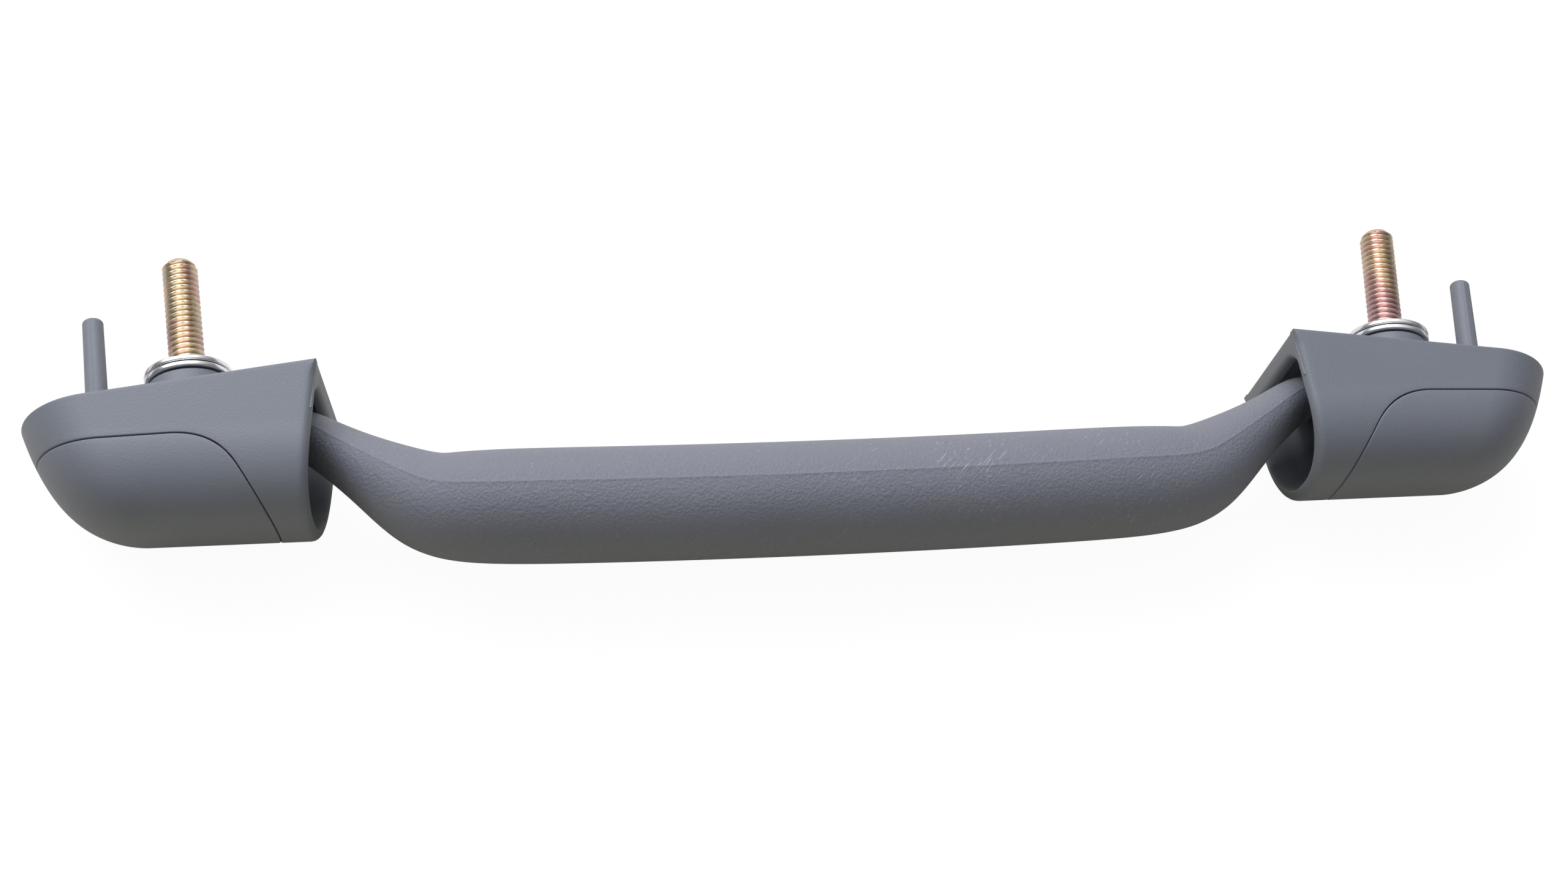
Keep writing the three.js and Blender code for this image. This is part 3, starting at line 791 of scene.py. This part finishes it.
def inside_parts(side):
    """The solids inside the shell: web, ribs, shelf, boss and peg."""
    slab = half_slab(WALL / 2, WEB_TOP, WEB_BOTTOM, WEB_START / STRAIGHT_LENGTH)
    web = mesh_from("web", *both_halves(*skin(*slab)), side)
    rib_top = WEB_TOP + RIB_RISE
    low = WEB_BOTTOM + RIB_SUNK
    ribs = [bar((WEB_START + 1, low, -RIB_WIDTH / 2), (RIB_END, rib_top, RIB_WIDTH / 2),
                RIB_EDGE)]
    for u, reach in ((BOLT_U, RIM_HALF - WALL / 2), (PEG_U, PEG_RIB_REACH)):
        ribs.append(bar((u - RIB_WIDTH / 2, low, -reach),
                        (u + RIB_WIDTH / 2, rib_top - CROSS_DROP, reach), RIB_EDGE))
    ribs.append(bar(SHELF_LOW, SHELF_HIGH, RIB_EDGE))
    ribs = [mesh_from(f"rib_{i}", *skin(rib, closed=True), side)
            for i, rib in enumerate(ribs)]
    foot = arc((BOSS_R + BOSS_FOOT_OUT, WEB_TOP + BOSS_FOOT_R - SUNK), BOSS_FOOT_R, 270, 180)
    boss_top = arc((BOSS_R - BOSS_EDGE, BOSS_TOP - BOSS_EDGE), BOSS_EDGE, 0, 90)
    boss_low = WEB_BOTTOM + 2 * SUNK
    boss = np.concatenate([[[0, boss_low], [BOSS_R + BOSS_FOOT_OUT, boss_low]], foot,
                           boss_top, [[0, BOSS_TOP]]])
    boss = mesh_from("boss", *skin(turned(BOLT_U, boss), closed=True), side)
    peg_foot = arc((PEG_ROOT_R + PEG_FOOT_R, WEB_TOP + PEG_FOOT_R - SUNK), PEG_FOOT_R,
                   270, 180)
    tip = arc((PEG_TIP_R - PEG_POINT_R, PEG_HEIGHT - PEG_POINT_R), PEG_POINT_R, 0, 90)
    peg = np.concatenate([[[0, WEB_TOP - 1], [PEG_ROOT_R + PEG_FOOT_R, WEB_TOP - 1]],
                          peg_foot, tip, [[0, PEG_HEIGHT]]])
    peg = mesh_from("peg", *skin(turned(PEG_U, peg, 72, peg_mould_line), closed=True), side)
    return [web, *ribs, boss, peg]


print("web, ribs, boss and peg ready")

# %% [markdown]
# ## Housing
#
# Wall, lip and inside are joined here. The wall's edges differ: a generous round at the
# inner end, where a hand may meet it, and a small break along the rim and parting
# line, as a mould leaves them.

# %% Housing
INNER_END_RADIUS = 2.0
RIM_RADIUS = 0.5
PARTING_RADIUS = 0.25
HOUSING_ROWS = 18
BLEND_POINTS = 3  # over which the rim's rounding becomes the inner end's
BORE_CHAMFER = 0.4
BORE_OVERRUN = 3.0


def housing(side_name, side):
    """A housing in one piece: wall, lip and inside, less the bolt's bore."""
    line = parting_line(0)
    opposite = rim_line(line)
    from_corner = np.arange(line.shape[1]) - CORNER
    blend = np.clip((from_corner + BLEND_POINTS) / BLEND_POINTS, 0, 1)[:, None]
    near = INNER_END_RADIUS * (1 - blend) + RIM_RADIUS * blend
    outer, inner, strips = wall_between(opposite, line, near, PARTING_RADIUS, HOUSING_ROWS)
    shell = mesh_from("shell", *both_halves(*skin(outer, inner, *strips)), side)
    lip_mesh = mesh_from("lip", *both_halves(*lip()), side)
    low, high = WEB_BOTTOM - BORE_OVERRUN, BOSS_TOP + BORE_CHAMFER
    bore = np.array([[0, low], [BORE_R, low], [BORE_R, BOSS_TOP - BORE_CHAMFER],
                     [BORE_R + 2 * BORE_CHAMFER, high], [0, high]])
    cutter = mesh_from("bore", *skin(turned(BOLT_U, bore), closed=True), side)
    mesh = joined(f"{side_name}_housing_shell", [shell, lip_mesh, *inside_parts(side)],
                  [cutter])
    place(mesh, housing_finish, "rail", "housing_plastic", f"{side_name}_housing")


SIDES = {"right": 1, "left": -1}
for side_name, side in SIDES.items():
    housing(side_name, side)

# %% [markdown]
# ## Cap
#
# The cap hides the bolt's head. It continues the housing's form across the parting
# line, so it uses the same formula on the other side of the same line, moved by the
# gap. Two tongues slide up inside the housing's walls and hold it.

# %% Cap
CAP_EDGE = 0.3
CAP_GAP = 0.22  # drawn finer than the CAD's gap, so that the parting line looks thin
CAP_ROWS = 44
CAP_EASE = 0.75  # gathers the rows towards the cap's front
TONGUE_CORNER = 1.5
TONGUE_X = 150.0
TONGUE_HALF_WIDTH = 4.0
TONGUE_THICKNESS = 1.6
TONGUE_TOP = -12.3
TONGUE_BOTTOM = -21.1
FRONT_MIDDLE = 131.0  # where the cap's front starts to run straight


def tongue(side, across):
    """A tongue: a rounded outline in the wall's plane, carried through its thickness."""
    half = SIDE_HALF - WALL - GAP
    outline = np.concatenate([
        [[TONGUE_HALF_WIDTH, TONGUE_BOTTOM]],
        arc((TONGUE_HALF_WIDTH - TONGUE_CORNER, TONGUE_TOP - TONGUE_CORNER),
            TONGUE_CORNER, 0, 90),
        arc((TONGUE_CORNER - TONGUE_HALF_WIDTH, TONGUE_TOP - TONGUE_CORNER),
            TONGUE_CORNER, 90, 180),
        [[-TONGUE_HALF_WIDTH, TONGUE_BOTTOM]]])
    depth = np.array([half, half - TONGUE_THICKNESS])[:, None] * across
    x = np.broadcast_to(TONGUE_X + outline[:, 0], (2, len(outline)))
    y = np.broadcast_to(outline[:, 1], (2, len(outline)))
    z = np.broadcast_to(depth, (2, len(outline)))
    return mesh_from("tongue", *skin(np.stack([x, y, z], -1), closed=True), side)


def cap(side_name, side):
    """A cap in one piece: the wall beyond the parting line, and its two tongues."""
    line = parting_line(CAP_GAP)
    ridge = ridge_line(line, FRONT_MIDDLE)
    outer, inner, strips = wall_between(line, ridge, CAP_EDGE, 0, CAP_ROWS, CAP_EASE)
    shell = mesh_from("shell", *both_halves(*skin(outer, inner, strips[0])), side)
    mesh = joined(f"{side_name}_cap_shell", [shell, tongue(side, 1), tongue(side, -1)])
    place(mesh, housing_finish, f"{side_name}_cap", "housing_plastic", f"{side_name}_cap")


for side_name, side in SIDES.items():
    cap(side_name, side)

# %% [markdown]
# ## Washers and spacers
#
# Washers are punched from strip, and tumbling takes off their sharp edges. A turned
# ring with all its edges rounded catches the light as a bright line round its rim.

# %% Washers and spacers
WASHER_R = 9.6
WASHER_BORE_R = 4.4
WASHER_THICKNESS = 1.2
WASHER_EDGE = 0.35
SPACER_R = 6.0
SPACER_BORE_R = 4.3
SPACER_EDGE = 0.3


def ring(name, side, inner, outer, bottom, top, edge, *finish_and_place):
    """A ring about the bolt, between two radii and two heights above the face."""
    profile = ring_profile(inner, outer, bottom, top, edge)
    mesh = mesh_from(name, *skin(turned(BOLT_U, profile), closed=True), side)
    place(mesh, *finish_and_place)


for side_name, side in SIDES.items():
    ring(f"{side_name}_spacer_tube", side, SPACER_BORE_R, SPACER_R, WEB_BOTTOM, BOSS_TOP,
         SPACER_EDGE, steel, "rail", "steel", f"{side_name}_spacer")
    bottom = BOSS_TOP + GAP
    for which in ("inner", "outer"):
        node = f"{side_name}_{which}_washer"
        ring(f"{node}_ring", side, WASHER_BORE_R, WASHER_R, bottom,
             bottom + WASHER_THICKNESS, WASHER_EDGE, zinc_bright, node, "bright_zinc", node)
        bottom += WASHER_THICKNESS + GAP

# %% [markdown]
# ## Bolts
#
# A thread can be swept along a helix, which needs care where the sweep meets the
# shank. Here the whole bolt is one turned grid: its radius at each angle and height
# is the thread's profile at that point of the helix, capped by the cone of the point,
# so crest, root and run-out are all one closed skin.

# %% Bolts
BOLT_R = 3.97  # 5/16 inch across the crests
PITCH = 25.4 / 18
THREAD_DEPTH = 0.61 * PITCH
BOLT_SEAT = -10.7
BOLT_TIP = BOLT_SEAT + 50.8
THREAD_START = 3.0  # where the plain shank ends
CREST_FLAT = 0.16  # share of half a pitch
FLANK_WIDTH = 0.66  # share of half a pitch
ROOT_POWER = 1.15  # above 1, it rounds the root
POINT_INSET = 0.25  # radius of the tip inside the thread's root
POINT_SLOPE = 0.85
FLANGE_R = 8.6
FLANGE_THICKNESS = 1.6
HEX_HALF = 12.7 / 2
HEAD_TOP = BOLT_SEAT - 7.9
HEX_CORNER = 1.135  # corner radius of the hexagon, as a share of HEX_HALF
FLANGE_ROOT = 1.14  # where the flange starts, as a share of HEX_HALF
CHAMFER_R = 0.97  # of the head's end face, as a share of HEX_HALF
CHAMFER_SLOPE = 1.9
TURN_STEPS = 96
ROWS_PER_PITCH = 14


def thread_radius(angle, height):
    """The profile repeats once a pitch and moves up a pitch in each turn: a flat
    crest, straight flanks and a rounded root. It fades out on the shank."""
    phase = (height / PITCH - angle / (2 * np.pi)) % 1
    from_crest = np.abs(phase - 0.5) * 2
    flank = np.clip((from_crest - CREST_FLAT) / FLANK_WIDTH, 0, 1)
    groove = THREAD_DEPTH * (1 - (1 - flank) ** ROOT_POWER)
    run_out = np.clip((height - THREAD_START) / PITCH, 0, 1)
    radius = BOLT_R - groove * run_out
    point = BOLT_R - THREAD_DEPTH - POINT_INSET + (BOLT_TIP - height) * POINT_SLOPE
    return np.minimum(radius, point), 1 - groove * run_out / THREAD_DEPTH


def head_radius(angle, height):
    """The hexagon's distance from its axis at an angle, with softened corners, capped
    by the shallow cone of its chamfer."""
    from_flat = (angle % (np.pi / 3)) - np.pi / 6
    hexagon = HEX_HALF / np.cos(from_flat)
    hexagon = np.minimum(hexagon, HEX_HALF * HEX_CORNER)
    chamfer = HEX_HALF * CHAMFER_R + (height - HEAD_TOP) * CHAMFER_SLOPE
    return np.minimum(hexagon, chamfer)


def bolt(side_name, side):
    """A bolt as one grid, from its head's end face up to its tip."""
    angle = np.linspace(0, 2 * np.pi, TURN_STEPS, endpoint=False)[None, :]
    count = int((BOLT_TIP - THREAD_START) / PITCH * ROWS_PER_PITCH)
    threaded = np.linspace(THREAD_START, BOLT_TIP, count)[:, None]
    shank_r, crest = thread_radius(angle, threaded)
    head_heights = HEAD_TOP + np.array([0, 0, 0.25, 0.6, 1.0, 2.0, 4.5])[:, None]
    head_r = head_radius(angle, head_heights)
    head_r[0] = 0  # closes the head's end face
    flange_top = BOLT_SEAT - FLANGE_THICKNESS
    flange = np.array([[HEX_HALF * FLANGE_ROOT, flange_top - 0.9], [FLANGE_R - 0.5, flange_top],
                       [FLANGE_R - 0.1, flange_top + 0.25], [FLANGE_R, flange_top + 0.6],
                       [FLANGE_R, BOLT_SEAT - 0.3], [FLANGE_R - 0.3, BOLT_SEAT],
                       [BOLT_R + 0.5, BOLT_SEAT], [BOLT_R, BOLT_SEAT + 0.5],
                       [BOLT_R, THREAD_START - 0.3]])
    flange_r = np.broadcast_to(flange[:, :1], (len(flange), TURN_STEPS))
    radius = np.concatenate([head_r, flange_r, shank_r, np.zeros((1, TURN_STEPS))])
    height = np.concatenate([head_heights, flange[:, 1:], threaded, [[BOLT_TIP]]])
    # Each point's share of the thread's height, which the finish turns into painted shade in
    # the roots; head and flange are left unshaded.
    plain = np.ones((len(head_r) + len(flange), TURN_STEPS))
    shade = np.concatenate([plain, crest, crest[-1:]]).ravel()
    grid = on_face(BOLT_U + radius * np.cos(angle), height, radius * np.sin(angle))
    mesh = mesh_from(f"{side_name}_bolt_threaded", *skin(grid, closed=True), side,
                     ("crest", shade))
    place(mesh, zinc_yellow, f"{side_name}_bolt", "yellow_zinc", f"{side_name}_bolt")


for side_name, side in SIDES.items():
    bolt(side_name, side)

# %% [markdown]
# ## Grip
#
# The grip is one soft moulding over a steel strap. Its section changes from a full
# palm to narrow necks, and a fine ridge runs along both sides where the mould's two
# halves met. A sweep with a formula for the middle line and one for the section
# keeps that ridge exactly on a row of points, so that it stays crisp.

# %% Grip
GRIP_Y = -30.3
BOW = 1.17
BOW_X = 80.0
ARM_X = 87.2
ARM_SLOPE = 0.63
ARM_SOFTNESS = 2.7
SHOULDER_X = 115.9
SHOULDER_SOFTNESS = 1.2
COVER_END = 119.0
TAPER_X = 97.0
TAPER_SOFTNESS = 7.2
NECK = np.array([4.7, 8.0])
PALM = np.array([12.95, 13.8])
RIDGE_HEIGHT = 0.016  # as a share of the section's size
RIDGE_SPREAD = np.radians(8)
SEAM_HEIGHT = 0.005  # the fine line where the mould's halves met, on top of the ridge
SEAM_SPREAD = np.radians(1.3)
STATIONS = 401
CROWDING = 0.15  # gathers the stations towards the ends
SIDE_POINTS = 48  # in each half of the section
SIDE_CROWDING = 1.6  # above 1, it gathers those points at the ridge
END_ROUND = 1.2
END_MARGIN = 0.1  # keeps the last station clear of the rounded end
END_SHRINK = 0.25  # of the section, at the very end
END_ROWS = 6


def soft_rise(distance, softness):
    """A rise that starts softly at zero and becomes a straight line of slope one."""
    return softness * np.log1p(np.exp(distance / softness))


def grip_middle(x):
    """The height of the grip's middle line: a slight bow, an arm and a level end."""
    arm = soft_rise(np.abs(x) - ARM_X, ARM_SOFTNESS)
    level = soft_rise(np.abs(x) - SHOULDER_X, SHOULDER_SOFTNESS)
    bow = BOW * (x / BOW_X) ** 2
    return GRIP_Y + bow + ARM_SLOPE * arm - (ARM_SLOPE + np.tan(FACE_TILT)) * level


def grip():
    """Carries an ellipse along the middle line. A cusp raises it at both sides, and
    the last rows shrink to round and close the ends."""
    along = np.linspace(-1, 1, STATIONS)
    x = COVER_END * ((1 + CROWDING) * along - CROWDING * along ** 3)
    inner_x = x[np.abs(x) < COVER_END - END_ROUND - END_MARGIN]
    sweep = np.linspace(0, QUARTER, END_ROWS)
    shrink = np.concatenate([[0.0], 1 - END_SHRINK * np.cos(sweep)])
    size = np.concatenate([shrink, np.ones_like(inner_x), shrink[::-1]])
    ends = COVER_END - END_ROUND + END_ROUND * np.sin(sweep[::-1])
    ends = np.concatenate([[COVER_END], ends])
    x = np.concatenate([-ends, inner_x, ends[::-1]])
    y = grip_middle(x)
    slope = (grip_middle(x + 0.1) - grip_middle(x - 0.1)) / 0.2
    normal = np.stack([-slope, np.ones_like(x)], -1)
    normal /= np.linalg.norm(normal, axis=1)[:, None]
    share = 1 / (1 + np.exp((np.abs(x) - TAPER_X) / TAPER_SOFTNESS))[:, None]
    thick, deep = (NECK * (1 - share) + PALM * share).T * size
    step = np.linspace(-1, 1, SIDE_POINTS + 1)[:-1]
    quarter_turns = QUARTER * np.sign(step) * np.abs(step) ** SIDE_CROWDING
    angle = np.concatenate([quarter_turns + QUARTER, quarter_turns + 3 * QUARTER])
    cusp = RIDGE_HEIGHT * np.exp(-np.abs(quarter_turns) / RIDGE_SPREAD)
    cusp += SEAM_HEIGHT * np.exp(-(quarter_turns / SEAM_SPREAD) ** 2)
    radius = 1 + np.concatenate([cusp, cusp])
    out = thick[:, None] * radius * np.cos(angle)
    return np.stack([x[:, None] + normal[:, :1] * out, y[:, None] + normal[:, 1:] * out,
                     deep[:, None] * radius * np.sin(angle)], -1)


mesh = mesh_from("grip_moulding", *skin(grip(), closed=True))
place(mesh, grip_finish, "rail", "grip_plastic", "grip_cover")

# %% [markdown]
# ## Steel strap
#
# The strap hides inside the grip and shows only its ends, inside the housings, so its
# CAD solid stays. Its points are merged and its edges broken by two modifiers, which
# leave the CAD mesh itself untouched.

# %% Steel strap
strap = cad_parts["grip_core"]
strap.data.materials.clear()
strap.data.materials.append(steel)
merge = strap.modifiers.new("merge points", "WELD")
merge.merge_threshold = 0.00001
break_edges = strap.modifiers.new("break edges", "BEVEL")
break_edges.width = 0.0004
break_edges.segments = 2
break_edges.limit_method = "ANGLE"
break_edges.angle_limit = np.radians(40)
print("strap:", len(strap.data.polygons), "CAD faces")

# %% [markdown]
# ## Floor and light
#
# The rail lies on a white table in a light tent, with one soft lamp behind it. A plain
# diffuse table would turn grey wherever the tent is dim, so this one answers each kind
# of ray in its own way. The camera sees a glowing white with only a trace of shadow,
# diffuse rays meet a warm tone that tints the plastic from below, and all other rays,
# such as the reflections in the metal, meet a neutral grey.

# %% Floor
TABLE_HALF = 3.0
TABLE_GLOW = 0.95  # what the camera sees
TABLE_SHADED = (0.08, 0.08, 0.08, 1)  # the part of it that takes a shadow
TABLE_WARM = (0.80, 0.72, 0.44, 1)  # for diffuse rays
TABLE_NEUTRAL = (0.7, 0.7, 0.72, 1)  # for all other rays

floor_finish = bpy.data.materials.new("white table")
floor_finish.use_nodes = True
tree = floor_finish.node_tree
tree.nodes.clear()
light_path = add_node(tree, "ShaderNodeLightPath").outputs
glow = add_node(tree, "ShaderNodeEmission", {"Strength": TABLE_GLOW})
shaded = add_node(tree, "ShaderNodeBsdfDiffuse", {"Color": TABLE_SHADED})
lit = add_node(tree, "ShaderNodeAddShader", {0: glow.outputs[0], 1: shaded.outputs[0]})
warm = add_node(tree, "ShaderNodeBsdfDiffuse", {"Color": TABLE_WARM})
neutral = add_node(tree, "ShaderNodeBsdfDiffuse", {"Color": TABLE_NEUTRAL})
bounce = add_node(tree, "ShaderNodeMixShader", {
    0: light_path["Is Diffuse Ray"], 1: neutral.outputs[0], 2: warm.outputs[0]})
both = add_node(tree, "ShaderNodeMixShader", {
    0: light_path["Is Camera Ray"], 1: bounce.outputs[0], 2: lit.outputs[0]})
add_node(tree, "ShaderNodeOutputMaterial", {"Surface": both.outputs[0]})

table_top = cad_box[0].z
corners = [(x, y, table_top) for x, y in ((-1, -1), (1, -1), (1, 1), (-1, 1))]
corners = [(x * TABLE_HALF, y * TABLE_HALF, z) for x, y, z in corners]
floor_mesh = bpy.data.meshes.new("floor")
floor_mesh.from_pydata(corners, [], [(0, 1, 2, 3)])
floor_mesh.materials.append(floor_finish)
floor = bpy.data.objects.new("floor", floor_mesh)
bpy.context.scene.collection.objects.link(floor)
print("table at", round(table_top, 4))

# %% [markdown]
# A world of one even white would flatten the form. Here its brightness rises from the
# front horizon to the back of the tent and falls off to both sides, which gives the
# plastic a soft gradient and the plated pieces something to reflect.

# %% Light
TENT_STRENGTH = 0.93
KEY_PLACE = (-0.35, 0.66, 0.82)
KEY_AIM = (-0.04, 0, 0)
KEY_SIZE = (1.4, 0.6)
KEY_POWER = 12.8

world = bpy.data.worlds.new("light tent")
bpy.context.scene.world = world
world.use_nodes = True
tree = world.node_tree
direction = add_node(tree, "ShaderNodeTexCoord").outputs["Generated"]
lean = add_node(tree, "ShaderNodeVectorMath", {0: direction, 1: (0.0, 0.45, 0.75)},
                operation="DOT_PRODUCT")
bright = ramp(tree, lean.outputs["Value"], [(0.0, 0.22), (0.45, 0.42), (0.85, 1.0)])
sideways = add_node(tree, "ShaderNodeVectorMath", {0: direction, 1: (1.0, 0.0, 0.0)},
                    operation="DOT_PRODUCT")
squared = add_node(tree, "ShaderNodeMath", {
    0: sideways.outputs["Value"], 1: sideways.outputs["Value"]}, operation="MULTIPLY")
open_front = ramp(tree, squared.outputs[0], [(0.0, 1.0), (1.0, 0.4)])
tented = add_node(tree, "ShaderNodeVectorMath", {0: bright, 1: open_front},
                  operation="MULTIPLY")
background = tree.nodes["Background"]
tree.links.new(tented.outputs[0], background.inputs["Color"])
background.inputs["Strength"].default_value = TENT_STRENGTH
bpy.context.scene.view_settings.view_transform = "Standard"


def soft_light(name, place_at, aim, size, power):
    """A rectangular lamp, turned from its place towards its aim."""
    light = bpy.data.lights.new(name, "AREA")
    light.shape = "RECTANGLE"
    light.size, light.size_y = size
    light.energy = power
    lamp = bpy.data.objects.new(name, light)
    bpy.context.scene.collection.objects.link(lamp)
    lamp.location = place_at
    lamp.rotation_euler = (Vector(aim) - Vector(place_at)).to_track_quat("-Z", "Y").to_euler()


soft_light("key", KEY_PLACE, KEY_AIM, KEY_SIZE, KEY_POWER)
